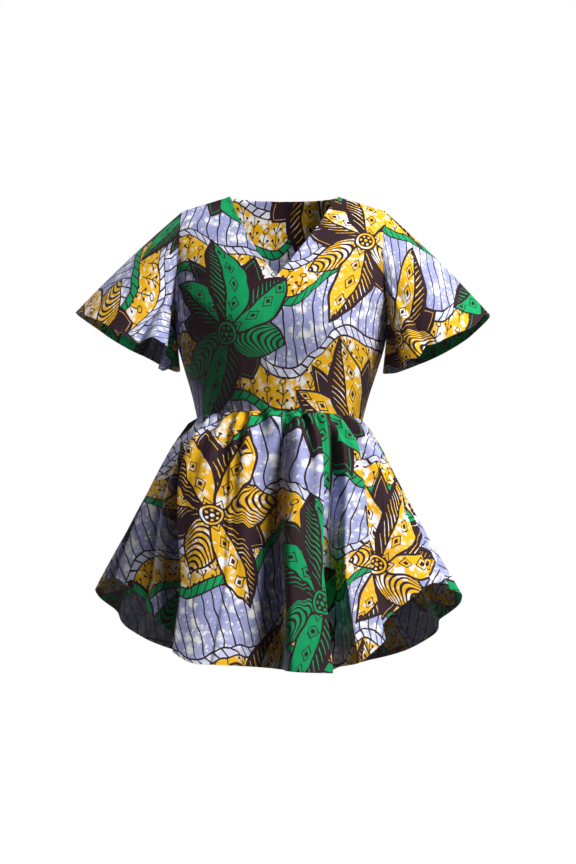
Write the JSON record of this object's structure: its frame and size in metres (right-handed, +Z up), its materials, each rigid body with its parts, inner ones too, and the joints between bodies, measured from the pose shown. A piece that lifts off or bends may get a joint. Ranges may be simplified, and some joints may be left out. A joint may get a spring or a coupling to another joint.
{
  "type": "peplum blouse",
  "caption": "Printed cotton peplum blouse in worn form: V-neck, flutter sleeves, and a long peplum gathered at the waist with a shirt-tail hem.",
  "frame": {"origin": "midway between the two neck points, where the shoulder seams meet the neckline", "axes": "+Z up along the body, the front faces -Y, the wearer's left arm is at +X"},
  "size_m": [0.794, 0.5037, 0.9113],
  "materials": {
    "print_cotton": "matte printed cotton with a slight sheen"
  },
  "bodies": {
    "root": {"bodice_front": "print_cotton", "bodice_back": "print_cotton", "sleeve_right": "print_cotton", "sleeve_left": "print_cotton", "peplum_front": "print_cotton", "peplum_back": "print_cotton"}
  },
  "joints": []
}
